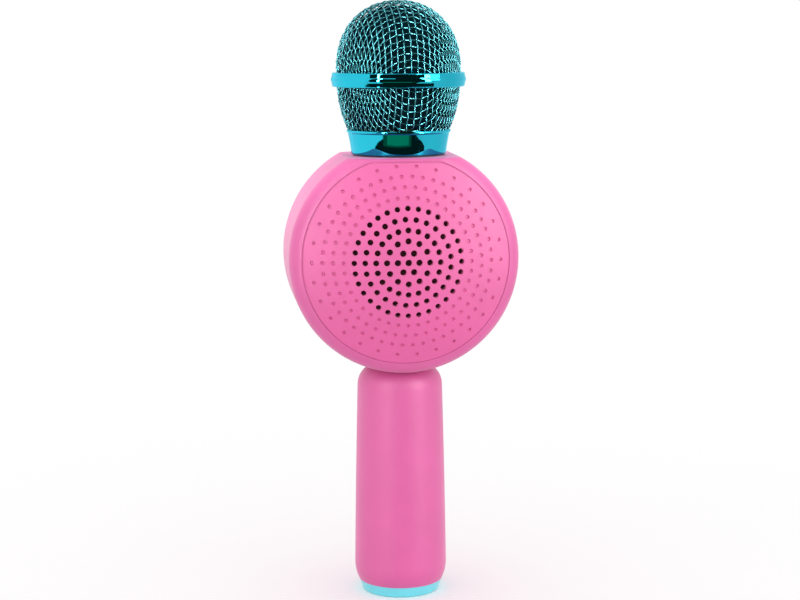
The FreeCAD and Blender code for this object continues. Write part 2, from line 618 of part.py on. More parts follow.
def control_panel():
    save("control_plate", control_plate())
    board = pin(PCB_R, PCB_Y, PCB_BACK)
    for x, _, z in around(PCB_SCREW_R, SPEAKER_SCREW_ANGLES, 0):
        board = board.cut(pin(1.5, PCB_Y - 1, PCB_BACK + 1, x, z))
    save("main_board", board)
    screws("board_screws", 2.4, 1.5, 1.15, 5.6, around(PCB_SCREW_R, SPEAKER_SCREW_ANGLES, PCB_Y), (0, 1, 0))
    save("tact_switches", *[tact_switch(x, DISC_Z + up) for x, up, _ in KEYS.values()])
    for name, (x, up, _) in KEYS.items():
        save(f"{name}_button", key(name))
        save(f"{name}_plunger", pin(PLUNGER_R, SWITCH_TOP - 2.1, PLUNGER_TOP, x, DISC_Z + up))
    power_switch()

    chips = []
    for x, up, half_w, half_h in ((0, 0, 5, 5), (-15, 6.5, 3, 2.5), (14.5, -9.5, 3.5, 2.5)):
        z = DISC_Z + up
        chips.append(block((x - half_w, PCB_Y - 1.6, z - half_h), (x + half_w, PCB_Y, z + half_h)))
    save("audio_chips", *chips)
    cans = [(-14, -10), (-8, -14), (13, 12)]
    save("capacitors", *[pin(2.5, PCB_Y - 5.5, PCB_Y, x, DISC_Z + up) for x, up in cans])
    plugs = (BATTERY_PLUG, CAPSULE_PLUG, SPEAKER_PLUG, CHARGE_PLUG)
    save("board_connectors", *[plug_block(spot) for spot in plugs])

    z, surface = DISC_Z + LENS_Z, dome_y(REAR_RISE, LENS_Z)
    save("status_lamp", pin(1.2, PCB_BACK, PCB_BACK + 1.4, 0, z))
    collar_top = surface - PLATE_T - 0.4
    lens = pin(LENS_R, PCB_BACK + 1.7, surface + 0.15, 0, z)
    save("lamp_lens", lens.fuse(pin(2.0, collar_top - 1.0, collar_top, 0, z)))


def charging_port():
    """Socket in the right-hand side of the rim, its tongue, and the small board behind it."""
    far = DISC_R - SOCKET_SINK
    near = far - SOCKET_LENGTH
    save("charging_board", block(*CHARGE_BOARD))
    save("charging_socket", socket_slot(0.0, near, far).cut(socket_slot(-0.3, near + 1.0, far + 1)))
    tongue_low = (near + 1.0 + GAP, SOCKET_Y - 0.35, DISC_Z - 3.3)
    save("socket_tongue", block(tongue_low, (far - 0.9, SOCKET_Y + 0.35, DISC_Z + 3.3)))


# ---- collar and grille -------------------------------------------------------------------------------------
def low_mesh_r(z, sink=0.0):
    """Outside radius of the lower grille at a height, or that surface sunk inwards."""
    return LOW_MESH_R * math.sqrt(1 - ((z - LOW_MESH_Z) / LOW_MESH_DROP) ** 2) - sink


def low_cup(sink_out, sink_in, low, high):
    """Shell between two sunk copies of the lower grille's outside, from z = low to z = high."""
    middle = (low + high) / 2
    return turned(
        [
            (low_mesh_r(low, sink_out), low),
            ((low_mesh_r(middle, sink_out), middle), (low_mesh_r(high, sink_out), high)),
            (low_mesh_r(high, sink_in), high),
            ((low_mesh_r(middle, sink_in), middle), (low_mesh_r(low, sink_in), low)),
        ]
    )


def top_mesh_points(sink, count=12):
    """Points (radius, z) down the upper grille's outside, a superellipse, sunk inwards by sink."""
    radius, rise, power = TOP_MESH_R - sink, TOTAL_HEIGHT - TOP_MESH_Z - sink, 2 / TOP_MESH_POWER
    turns = [math.pi / 2 * i / count for i in range(count)]
    points = [(radius * math.cos(t) ** power, TOP_MESH_Z + rise * math.sin(t) ** power) for t in turns]
    return points + [(0.0, TOP_MESH_Z + rise)]


def top_dome(sink_out, sink_in, low):
    """Shell between two sunk copies of the upper grille's outside, run down to z = low."""

    def curve(points):
        spline = Part.BSplineCurve()
        spline.interpolate([Vector(r, 0, z) for r, z in points])
        return spline.toShape()

    def line(a, b):
        return Part.LineSegment(Vector(a[0], 0, a[1]), Vector(b[0], 0, b[1])).toShape()

    outer, inner = top_mesh_points(sink_out), top_mesh_points(sink_in)[::-1]
    foot_out, foot_in = (outer[0][0], low), (inner[-1][0], low)
    edges = [line(foot_out, outer[0]), curve(outer), line(outer[-1], inner[0]), curve(inner)]
    edges += [line(inner[-1], foot_in), line(foot_in, foot_out)]
    return Part.Face(Part.Wire(edges)).revolve(Vector(0, 0, 0), UP, 360)


def collar():
    """Screw collar: flared skin with a rolled lip, joined at its foot to a sleeve that turns on the neck."""
    sleeve_in, sleeve_out = NECK_R + RUNNING_GAP, NECK_R + 1.6
    lip, pocket, foot = COLLAR_LIP_Z, COLLAR_LIP_Z - 1.1, COLLAR_Z + 1.8
    return turned(
        [
            (COLLAR_R - 0.35, COLLAR_Z),
            ((COLLAR_R - 0.1, COLLAR_Z + 0.1), (COLLAR_R, COLLAR_Z + 0.35)),
            ((COLLAR_MID_R, COLLAR_Z + 3.9), (COLLAR_TOP_R, lip - 0.7)),
            (COLLAR_LIP_R - 0.2, lip - 0.4),
            ((COLLAR_LIP_R, lip), (COLLAR_LIP_R - 0.15, lip + 0.6)),
            (low_mesh_r(lip + 0.6, -GAP), lip + 0.6),
            (low_mesh_r(pocket, -GAP), pocket),
            (low_mesh_r(pocket, MESH_T + 0.8), pocket),
            (17.9, foot),
            (sleeve_out, foot),
            (sleeve_out, NECK_TOP),
            (sleeve_in, NECK_TOP),
            (sleeve_in, COLLAR_Z),
        ]
    )


def grille_ring():
    """Band round the grille's widest part: rounded edges, two bevels and a raised rib in the middle."""
    low, high, inner = RING_Z - RING_HALF, RING_Z + RING_HALF, TOP_MESH_R + 0.1
    rib_half, rib_foot, edge = 1.05, RING_R - 0.3, 0.5
    return turned(
        [
            (inner, low),
            (RING_EDGE_R - edge, low),
            ((RING_EDGE_R - 0.15, low + 0.15), (RING_EDGE_R, low + edge)),
            (rib_foot, RING_Z - rib_half),
            ((RING_R, RING_Z), (rib_foot, RING_Z + rib_half)),
            (RING_EDGE_R, high - edge),
            ((RING_EDGE_R - 0.15, high - 0.15), (RING_EDGE_R - edge, high)),
            (inner, high),
        ]
    )


def band(inner, outer, low, high):
    return turned([(inner, low), (outer, low), (outer, high), (inner, high)])


def grille_head():
    save("grille_collar", collar())
    save("collar_gasket", band(NECK_R + 0.5, 19.0, TOP_Z + GAP, COLLAR_Z - GAP))
    save("grille_ring", grille_ring())
    save("lower_mesh", low_cup(0.0, MESH_T, COLLAR_LIP_Z - 1.0, RING_Z - GAP))
    save("upper_mesh", top_dome(0.0, MESH_T, RING_Z + GAP))
    clamp_r = LOW_MESH_R - MESH_T - 0.15
    half = CLAMP_RING_HALF
    save("mesh_clamp_ring", band(clamp_r - CLAMP_RING_T, clamp_r, RING_Z - half, RING_Z + half))
    foam_sink = MESH_T + FOAM_GAP
    foam_top = top_dome(foam_sink, foam_sink + FOAM_T, LOW_MESH_Z)
    low_sink = LOW_MESH_R - TOP_MESH_R + foam_sink
    save("foam_windscreen", foam_top.fuse(low_cup(low_sink, low_sink + FOAM_T, FOAM_LOW, LOW_MESH_Z)))


# ---- screw neck and capsule --------------------------------------------------------------------------------
def screw_neck():
    """Neck held between the shells, threaded outside, with a post for the capsule on its closed top."""
    flange_low, side = TOP_Z - TOP_WALL - 2.1, CAVITY_Y - 0.2
    flange = post(NECK_FLANGE_R, flange_low, flange_low + 2.05)
    body = flange.common(block((-30, -side, 0), (30, side, TOTAL_HEIGHT)))
    body = body.fuse(post(NECK_R, flange_low, NECK_TOP))
    body = body.cut(post(NECK_BORE_R, flange_low - 1, NECK_TOP - 2.4))
    body = body.fuse(post(CAPSULE_POST_R, NECK_TOP - 1, CAPSULE_POST_TOP))
    for turn in range(3):
        low = NECK_TOP - 2.5 - turn * THREAD_PITCH
        body = body.cut(band(NECK_R - THREAD_DEPTH, NECK_R + 1, low, low + THREAD_PITCH / 2))
    return body.cut(post(CAPSULE_POST_BORE_R, NECK_TOP - 5, CAPSULE_POST_TOP + 1))


def capsule():
    """Microphone capsule in a rubber boot on the neck's post."""
    low, high = CAPSULE_POST_TOP + GAP, CAPSULE_Z + CAPSULE_H - 0.5
    outline = [(0, low), (BOOT_R - 1, low), (BOOT_R, low + 1)]
    outline += [(BOOT_R, high - 1), (BOOT_R - 1, high), (0, high)]
    boot = turned(outline).cut(post(CAPSULE_R + GAP, CAPSULE_Z, high + 1))
    save("capsule_boot", boot.cut(post(CAPSULE_POST_BORE_R, low - 1, high)))
    can = post(CAPSULE_R, CAPSULE_Z + 0.1, CAPSULE_Z + CAPSULE_H)
    for i in range(4):
        x, y = 2 * math.cos(math.pi * i / 2), 2 * math.sin(math.pi * i / 2)
        can = can.cut(post(0.5, CAPSULE_Z + CAPSULE_H - 0.6, CAPSULE_Z + CAPSULE_H + 1, x, y))
    save("mic_capsule", can)


# ---- handle, base and battery ------------------------------------------------------------------------------
def handle_tube():
    """Tapered grip with a rounded shoulder, shaped to the housing above it, and a flanged neck inside it."""
    shoulder_r, corner = HANDLE_R_TOP - SHOULDER_R, SHOULDER_R * math.sqrt(0.5)
    top = HANDLE_Z_TOP + SHOULDER_R
    rise, flare = HANDLE_Z_LOW - BASE_HEIGHT, HANDLE_R_LOW - HANDLE_R_FOOT
    foot_r = (rise**2 + flare**2) / (2 * flare)
    half_turn = math.asin(rise / foot_r) / 2
    inward, drop = foot_r * (1 - math.cos(half_turn)), foot_r * math.sin(half_turn)
    foot_mid = (HANDLE_R_LOW - inward, HANDLE_Z_LOW - drop)
    outer = turned(
        [
            (0, BASE_HEIGHT),
            (HANDLE_R_FOOT, BASE_HEIGHT),
            (foot_mid, (HANDLE_R_LOW, HANDLE_Z_LOW)),
            ((HANDLE_R_MID, HANDLE_Z_MID), (HANDLE_R_TOP, HANDLE_Z_TOP)),
            ((shoulder_r + corner, HANDLE_Z_TOP + corner), (shoulder_r, top)),
            (0, top),
        ]
    )
    neck_top = HANDLE_FLANGE_Z + HANDLE_FLANGE_T
    body = outer.cut(rim_solid(GAP)).fuse(post(HANDLE_NECK_R, HANDLE_Z_TOP, neck_top))
    body = body.fuse(post(HANDLE_FLANGE_R, HANDLE_FLANGE_Z, neck_top))
    socket_r, lip_top = SPIGOT_R + GAP, SPIGOT_TOP - 1.3
    return body.cut(
        turned(
            [
                (0, 0),
                (socket_r, 0),
                (socket_r, lip_top),
                (HANDLE_BORE_R, lip_top + 0.2),
                (HANDLE_BORE_R - 0.6, 86.0),
                ((13.6, 92.2), (HANDLE_NECK_BORE_R, 94.6)),
                (HANDLE_NECK_BORE_R, neck_top + 1),
                (0, neck_top + 1),
            ]
        )
    )


def base_cap():
    """Cap whose spigot snaps behind a lip in the handle, with two countersunk screw holes."""
    top, inner = BASE_HEIGHT - GAP, SPIGOT_R - SPIGOT_WALL
    cap = turned(
        [
            (0, 0),
            (BASE_R - BASE_EDGE, 0),
            ((BASE_R - BASE_EDGE * 0.3, BASE_EDGE * 0.3), (BASE_R, BASE_EDGE)),
            (BASE_TOP_R, top),
            (SPIGOT_R, top),
            (SPIGOT_R, SPIGOT_TOP - 1.1),
            (SPIGOT_R + SNAP, SPIGOT_TOP - 0.8),
            (SPIGOT_R + SNAP, SPIGOT_TOP - 0.5),
            (SPIGOT_R, SPIGOT_TOP),
            (inner, SPIGOT_TOP),
            (inner, FLOOR_TOP),
            (0, FLOOR_TOP),
        ]
    )
    for x in (-BASE_SCREW_X, BASE_SCREW_X):
        cap = cap.cut(post(3.0, -1, 2.4, x)).cut(post(CLEAR_R, -1, FLOOR_TOP + 1, x))
    return cap


def battery_cradle():
    """Foot that the base screws hold, a trough round the cell, and ribs that steady it in the handle."""
    low, foot_top, top = FLOOR_TOP + GAP, CELL_Z - 0.3, CELL_Z + CELL_LENGTH + 2.5
    inner, outer, rib = CELL_R + 0.3, CELL_R + 1.7, 1.6
    body = post(SPIGOT_R - SPIGOT_WALL - 0.1, low, foot_top).fuse(post(outer, low, top))
    for z in (30.0, 55.0, top - rib):
        body = body.fuse(post(HANDLE_BORE_R - 0.8, z, z + rib))
    body = body.cut(post(inner, foot_top, top + 1))
    body = body.cut(block((1.0 - inner, -40, foot_top), (inner - 1.0, 0, top + 1)))
    for x in (-BASE_SCREW_X, BASE_SCREW_X):
        body = body.cut(post(PILOT_R, low - 1, foot_top + 1, x))
    return body


def battery_cell():
    top, button_r = CELL_Z + CELL_LENGTH, 3.0
    can = post(CELL_R, CELL_Z, top - 0.5)
    crimp = band(CELL_R - 0.4, CELL_R + 1, top - 3.2, top - 2.6)
    return can.cut(crimp).fuse(post(button_r, top - 1, top))


def handle():
    save("handle_tube", handle_tube())
    save("base_cap", base_cap())
    seats = [(x, 0, 2.4) for x in (-BASE_SCREW_X, BASE_SCREW_X)]
    screws("base_screws", 2.6, 1.6, 1.3, 8.0, seats, (0, 0, 1))
    save("battery_cradle", battery_cradle())
    save("battery_cell", battery_cell())


# ---- leads -------------------------------------------------------------------------------------------------
def leads():
    """Pairs of insulated wires from the main board to the cell, capsule, loudspeaker and charging board."""
    plug_y = PCB_Y - PLUG_DEPTH - GAP
    pairs = (-LEAD_SPACING, LEAD_SPACING)

    def up_and_in(x, start_z, spot):
        """Straight along the axis from start_z, then forwards into a plug at spot."""
        plug_z = DISC_Z + spot[1]
        bend_z = plug_z + math.copysign(5.2, start_z - plug_z)
        return [(x, 0, start_z), (x, 0, bend_z), (x, 3.0, plug_z), (x, plug_y, plug_z)]

    routes = {
        "battery_leads": [up_and_in(x, CELL_Z + CELL_LENGTH + 0.1, BATTERY_PLUG) for x in pairs],
        "capsule_leads": [up_and_in(x, CAPSULE_Z, CAPSULE_PLUG) for x in pairs],
        "speaker_leads": [],
        "charging_leads": [],
    }
    board_y = (CHARGE_BOARD[0][1] + CHARGE_BOARD[1][1]) / 2
    board_x, plug_x = CHARGE_BOARD[0][0] - GAP, CHARGE_PLUG[0] + PLUG_HALF_W + GAP
    tag_x, tag_y, end_x = -20.3, WASHER_Y - 0.4 + GAP, SPEAKER_PLUG[0]
    side_y = PCB_Y - PLUG_DEPTH / 2
    for offset in pairs:
        z, end_z = DISC_Z + offset, DISC_Z + SPEAKER_PLUG[1] + offset
        from_tag = [(tag_x, tag_y, z), (tag_x, -2.0, z), (end_x, 3.0, end_z), (end_x, plug_y, end_z)]
        routes["speaker_leads"].append(from_tag)
        from_board = [(board_x, board_y, z), (33.0, board_y, z), (29.6, side_y, z), (plug_x, side_y, z)]
        routes["charging_leads"].append(from_board)
    for name, wires in routes.items():
        save(name, *[lead(points, LEAD_R) for points in wires])


os.makedirs("parts", exist_ok=True)
housing()
loudspeaker()
control_panel()
charging_port()
grille_head()
save("screw_neck", screw_neck())
capsule()
handle()
leads()
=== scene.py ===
import json
import math

import bpy
import numpy as np
from mathutils import Matrix, Vector, noise

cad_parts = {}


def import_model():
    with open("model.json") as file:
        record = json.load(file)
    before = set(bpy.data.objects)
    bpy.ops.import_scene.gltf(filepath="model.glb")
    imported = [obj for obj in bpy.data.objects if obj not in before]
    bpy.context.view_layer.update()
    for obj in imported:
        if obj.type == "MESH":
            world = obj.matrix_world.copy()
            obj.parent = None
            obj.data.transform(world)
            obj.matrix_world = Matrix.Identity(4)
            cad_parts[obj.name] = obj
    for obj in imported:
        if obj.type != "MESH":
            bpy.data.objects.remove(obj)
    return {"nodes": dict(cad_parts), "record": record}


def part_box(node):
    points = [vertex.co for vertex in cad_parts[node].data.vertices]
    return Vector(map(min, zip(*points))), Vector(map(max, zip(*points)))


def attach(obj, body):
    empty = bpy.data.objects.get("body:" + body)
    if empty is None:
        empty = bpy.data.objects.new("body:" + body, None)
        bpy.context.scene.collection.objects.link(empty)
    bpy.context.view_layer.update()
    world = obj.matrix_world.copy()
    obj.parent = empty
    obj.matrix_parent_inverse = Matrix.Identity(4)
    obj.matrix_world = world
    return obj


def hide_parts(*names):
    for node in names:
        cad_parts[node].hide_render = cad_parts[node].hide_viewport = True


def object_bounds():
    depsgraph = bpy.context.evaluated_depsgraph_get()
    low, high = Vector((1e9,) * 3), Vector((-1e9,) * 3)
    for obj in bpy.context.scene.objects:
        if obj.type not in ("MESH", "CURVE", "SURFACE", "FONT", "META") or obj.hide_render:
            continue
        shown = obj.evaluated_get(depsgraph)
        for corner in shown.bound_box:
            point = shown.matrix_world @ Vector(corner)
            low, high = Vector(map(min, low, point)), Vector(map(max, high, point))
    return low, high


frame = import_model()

# A toy karaoke microphone. The hard parts keep their solid models and get their finishes here. The woven wire
# grille and the foam inside it are made here, because their look is in the weave and the pores.
# Lengths are in metres.
MM = 0.001
CAD_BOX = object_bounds()

# ---- the view ----------------------------------------------------------------------------------------------
CAMERA_AZIMUTH = math.radians(-7.0)
CAMERA_DISTANCE = 0.760
CAMERA_HEIGHT = 0.2394
CAMERA_AIM = math.radians(-0.02)   # turned past the microphone's axis, to the left where it is positive
CAMERA_DIP = math.radians(8.565)
CAMERA_ROLL = math.radians(-0.26)
LENS_MM = 82.0
SENSOR_MM = 36.0

# ---- the light ---------------------------------------------------------------------------------------------
SKY = 1.0
SPARK = 60.0              # the narrow bright strips that the plating mirrors
FLOOR_REACH = 20.0
FLOOR_COLOUR = (0.90, 0.90, 0.90)
FLOOR_GLOW = 0.125        # lifts the floor to the white of the sky, so that no horizon shows
CARD_STEPS = 24           # flat pieces across a curved card

# ---- the grille --------------------------------------------------------------------------------------------
WIRE_PITCH = 2.75 * MM
WIRE_RADIUS = 0.265 * MM
WEAVE_HEIGHT = 0.32 * MM      # how far a wire's line lies outside or inside the weave's middle surface
WIRE_SINK = WIRE_RADIUS + WEAVE_HEIGHT
WIRE_STEPS = 4                # tube rings from one crossing to the next
WIRE_SIDES = 8
DRAPE_PAST_END = 1.5          # how many pitches past its cut edge the mesh is draped
SOLVER_STEPS = 30             # the most steps for finding one crossing
TINY = 1e-9
UPPER_TURN = math.radians(5)  # the head can stop at any angle, so the weave isn't square with the housing
LOWER_TURN = math.radians(9)

UPPER_SHOULDER_Z = 222.0 * MM  # the dome starts here; below it the mesh is straight down to the ring
UPPER_POWER = 2.15
LOWER_WIDEST_Z = 217.0 * MM
LOWER_DROP = 36.2 * MM         # from there down to the pole that the cup would have if it were closed

# ---- the foam ----------------------------------------------------------------------------------------------
FOAM_THICKNESS = 4.0 * MM
FOAM_SIDES = 168
FOAM_ROWS = 90
FOAM_LUMP = 0.22 * MM
FOAM_LUMP_SIZE = 1.4 * MM


# ---- small helpers for node materials ----------------------------------------------------------------------
class Finish:
    """A node material with one Principled shader, and short ways to add what most finishes need."""

    def __init__(self, name, roughness, metallic=0.0, **sockets):
        self.material = bpy.data.materials.new(name)
        self.material.use_nodes = True
        self.nodes = self.material.node_tree.nodes
        self.links = self.material.node_tree.links
        self.shader = self.nodes["Principled BSDF"]
        self.shader.inputs["Roughness"].default_value = roughness
        self.shader.inputs["Metallic"].default_value = metallic
        for socket, value in sockets.items():
            self.shader.inputs[socket.replace("_", " ")].default_value = value
        self.place = self.nodes.new("ShaderNodeTexCoord").outputs["Object"]
        self.last_bump = None

    def node(self, kind, **inputs):
        """A new node with values for its inputs, an underscore standing for a space in an input's name."""
        node = self.nodes.new(kind)
        for socket, value in inputs.items():
            node.inputs[socket.replace("_", " ")].default_value = value
        return node

    def noise(self, size, detail=2.0, roughness=0.5, stretch=(1, 1, 1)):
        """Noise whose lumps are about size across, longer along an axis whose stretch is under 1."""
        mapping = self.node("ShaderNodeMapping", Scale=stretch)
        texture = self.node("ShaderNodeTexNoise", Scale=1 / size, Detail=detail, Roughness=roughness)
        self.links.new(self.place, mapping.inputs["Vector"])
        self.links.new(mapping.outputs["Vector"], texture.inputs["Vector"])
        return texture.outputs["Fac"]

    def cells(self, size):
        """Round cells, size across."""
        texture = self.node("ShaderNodeTexVoronoi", Scale=1 / size)
        self.links.new(self.place, texture.inputs["Vector"])
        return texture.outputs["Distance"]

    def bands(self, size, axis):
        """Straight bands across an axis, size from one to the next."""
        texture = self.node("ShaderNodeTexWave", Scale=math.pi / (10 * size))
        texture.bands_direction = axis
        self.links.new(self.place, texture.inputs["Vector"])
        return texture.outputs["Fac"]

    def product(self, a, b):
        """One value times another."""
        node = self.nodes.new("ShaderNodeMath")
        node.operation = "MULTIPLY"
        self.links.new(a, node.inputs[0])
        self.links.new(b, node.inputs[1])
        return node.outputs["Value"]

    def colour(self, factor, *stops):
        """Base colour along a ramp of (position, colour)."""
        ramp = self.nodes.new("ShaderNodeValToRGB")
        elements = ramp.color_ramp.elements
        for _ in stops[2:]:
            elements.new(0.5)
        for element, (position, colour) in zip(elements, stops):
            element.position = position
            element.color = (*colour, 1.0)
        self.links.new(factor, ramp.inputs["Fac"])
        self.links.new(ramp.outputs["Color"], self.shader.inputs["Base Color"])
        return self

    def rough(self, factor, low, high):
        """Roughness between two values."""
        spread = self.node("ShaderNodeMapRange", To_Min=low, To_Max=high)
        self.links.new(factor, spread.inputs["Value"])
        self.links.new(spread.outputs["Result"], self.shader.inputs["Roughness"])
        return self

    def bump(self, factor, depth):
        """Relief depth deep. A second call adds its relief to the first."""
        bump = self.node("ShaderNodeBump", Distance=depth, Strength=1.0)
        self.links.new(factor, bump.inputs["Height"])
        if self.last_bump:
            self.links.new(self.last_bump, bump.inputs["Normal"])
        self.last_bump = bump.outputs["Normal"]
        self.links.new(self.last_bump, self.shader.inputs["Normal"])
        return self


def shaded(colour, factor):
    """A colour made darker or lighter."""
    return tuple(min(1.0, c * factor) for c in colour)


# ---- finishes ----------------------------------------------------------------------------------------------
def moulded_plastic(name, colour, roughness, grain=0.012 * MM, mottle=0.04, **sockets):
    """Injection-moulded plastic: slow colour drift, fine eroded grain and slightly uneven gloss."""
    finish = Finish(name, roughness, **sockets)
    drift = finish.noise(18 * MM, detail=3)
    finish.colour(drift, (0.3, shaded(colour, 1 - mottle)), (0.7, shaded(colour, 1 + mottle)))
    finish.rough(finish.noise(4 * MM), roughness - 0.05, roughness + 0.05)
    finish.bump(finish.noise(0.28 * MM, detail=3, roughness=0.6), grain)
    return finish.bump(finish.noise(9 * MM), 0.03 * MM)


def teal_metallised():
    """Bright plating on plastic, tinted teal: it mirrors its surroundings with a slight ripple."""
    finish = Finish("teal_metallised", 0.04, metallic=1.0, Coat_Weight=0.3, Coat_Roughness=0.02)
    finish.shader.inputs["Specular Tint"].default_value = (0.15, 0.85, 1.0, 1.0)
    drift = finish.noise(12 * MM, detail=2)
    finish.colour(drift, (0.3, (0.003, 0.40, 0.53)), (0.7, (0.006, 0.46, 0.60)))
    finish.rough(finish.noise(1.2 * MM, detail=4), 0.03, 0.045)
    return finish.bump(finish.noise(3.5 * MM), 0.005 * MM)


def teal_wire():
    """Lacquered steel wire: teal metal, a little duller and darker in patches, with drawing marks."""
    finish = Finish("teal_wire", 0.2, metallic=1.0, Coat_Weight=1.0, Coat_Roughness=0.15)
    finish.shader.inputs["Specular Tint"].default_value = (0.4, 0.9, 1.0, 1.0)
    drift = finish.noise(1.6 * MM, detail=3)
    finish.colour(drift, (0.3, (0.035, 0.29, 0.33)), (0.7, (0.070, 0.40, 0.45)))
    finish.rough(finish.noise(0.5 * MM), 0.14, 0.28)
    return finish.bump(finish.noise(0.16 * MM, detail=3), 0.006 * MM)


def black_foam():
    """Open-cell foam: nearly black with a tinge of teal, and full of pores, whose hollows are painted darker
    as shade.
    """
    finish = Finish("black_foam", 1.0, Specular_IOR_Level=0.02)
    pores = finish.cells(0.55 * MM)
    # painted shade: the foam is darker in the hollows of its pores
    finish.colour(pores, (0.1, (0.0002, 0.005, 0.008)), (0.7, (0.0008, 0.014, 0.020)))
    finish.bump(pores, 0.22 * MM)
    return finish.bump(finish.noise(0.2 * MM, detail=3), 0.05 * MM)


def rubber(name, colour, roughness=0.6):
    """Moulded rubber: matte, with a powdery bloom and a soft fine grain."""
    finish = Finish(name, roughness, Sheen_Weight=0.15, Sheen_Roughness=0.5)
    bloom = finish.noise(3 * MM, detail=4, roughness=0.6)
    finish.colour(bloom, (0.3, shaded(colour, 0.9)), (0.72, shaded(colour, 1.12)))
    finish.rough(bloom, roughness - 0.06, roughness + 0.08)
    return finish.bump(finish.noise(0.18 * MM, detail=3), 0.010 * MM)


def metal(name, colour, roughness, lines_axis=None):
    """Plated or drawn metal: fine lines along one axis, and a little tarnish."""
    finish = Finish(name, roughness, metallic=1.0)
    stretch = tuple(0.05 if axis == lines_axis else 1 for axis in "XYZ")
    tarnish = finish.noise(2.5 * MM, detail=4, roughness=0.6)
    finish.colour(tarnish, (0.3, shaded(colour, 0.85)), (0.65, shaded(colour, 1.05)))
    lines = finish.noise(0.12 * MM, stretch=stretch)
    finish.rough(lines, roughness - 0.06, roughness + 0.08)
    return finish.bump(lines, 0.004 * MM)


def ferrite():
    """Pressed ferrite: charcoal, speckled, with tiny chips."""
    finish = Finish("ferrite", 0.75)
    speckle = finish.cells(0.3 * MM)
    finish.colour(speckle, (0.1, (0.035, 0.035, 0.038)), (0.8, (0.075, 0.075, 0.082)))
    return finish.bump(finish.noise(0.6 * MM, detail=4), 0.03 * MM)


def copper_wire():
    """A coil's side by side turns of lacquered copper wire, wound round the loudspeaker's axis, with painted
    shade in the grooves between the turns.
    """
    finish = Finish("copper_wire", 0.28, metallic=1.0)
    turns = finish.bands(0.22 * MM, "Y")
    # painted shade: the copper is darker in the grooves between the turns and full colour on their crowns
    finish.colour(turns, (0.1, (0.30, 0.10, 0.035)), (0.6, (0.80, 0.36, 0.17)))
    return finish.bump(turns, 0.06 * MM)


def cone_paper():
    """Pressed paper pulp: dark, matte and fibrous."""
    finish = Finish("cone_paper", 0.85)
    fibre = finish.noise(0.35 * MM, detail=6, roughness=0.7)
    finish.colour(fibre, (0.3, (0.020, 0.020, 0.022)), (0.7, (0.055, 0.055, 0.058)))
    return finish.bump(fibre, 0.04 * MM)


def woven_cloth(name, dark, light, pitch):
    """Plain-woven cloth stretched square to the loudspeaker's axis, darker between the threads as painted
    shade.
    """
    finish = Finish(name, 0.85, Sheen_Weight=0.2)
    across = finish.bands(pitch, "X")
    along = finish.bands(pitch, "Z")
    weave = finish.product(across, along)
    # painted shade: the cloth is darker where the threads dip, between their crossings
    finish.colour(weave, (0.1, dark), (0.8, light))
    return finish.bump(weave, 0.3 * pitch)


def board_green():
    """Circuit board: green solder mask over a faint maze of copper tracks."""
    finish = Finish("board_green", 0.3, Coat_Weight=0.4, Coat_Roughness=0.15)
    maze = finish.nodes.new("ShaderNodeTexBrick")
    maze.inputs["Scale"].default_value = 1 / (9 * MM)
    maze.inputs["Mortar Size"].default_value = 0.025
    maze.inputs["Mortar Smooth"].default_value = 0.2
    maze.offset = 0.37
    turn = finish.node("ShaderNodeMapping", Rotation=(math.radians(90), 0, 0))
    finish.links.new(finish.place, turn.inputs["Vector"])
    finish.links.new(turn.outputs["Vector"], maze.inputs["Vector"])
    tracks = maze.outputs["Fac"]
    finish.colour(tracks, (0.0, (0.012, 0.15, 0.055)), (1.0, (0.035, 0.27, 0.10)))
    finish.bump(finish.noise(0.3 * MM, detail=3), 0.008 * MM)
    return finish.bump(tracks, 0.02 * MM)


def shrink_wrap():
    """Glossy blue shrink wrap over the battery cell, with faint wrinkles round it."""
    finish = Finish("cell_wrap", 0.22, Coat_Weight=0.6, Coat_Roughness=0.08)
    wrinkle = finish.noise(3 * MM, detail=3, stretch=(0.4, 0.4, 1.6))
    finish.colour(wrinkle, (0.3, (0.02, 0.10, 0.36)), (0.7, (0.035, 0.15, 0.46)))
    return finish.bump(wrinkle, 0.06 * MM)


def lamp_lens():
    """Clear lens with slight flow marks."""
    finish = Finish("lamp_clear", 0.1, Transmission_Weight=0.85, IOR=1.49)
    flow = finish.noise(0.8 * MM, detail=2)
    finish.colour(flow, (0.3, (0.80, 0.90, 0.92)), (0.7, (0.95, 0.98, 1.0)))
    return finish.bump(flow, 0.01 * MM)


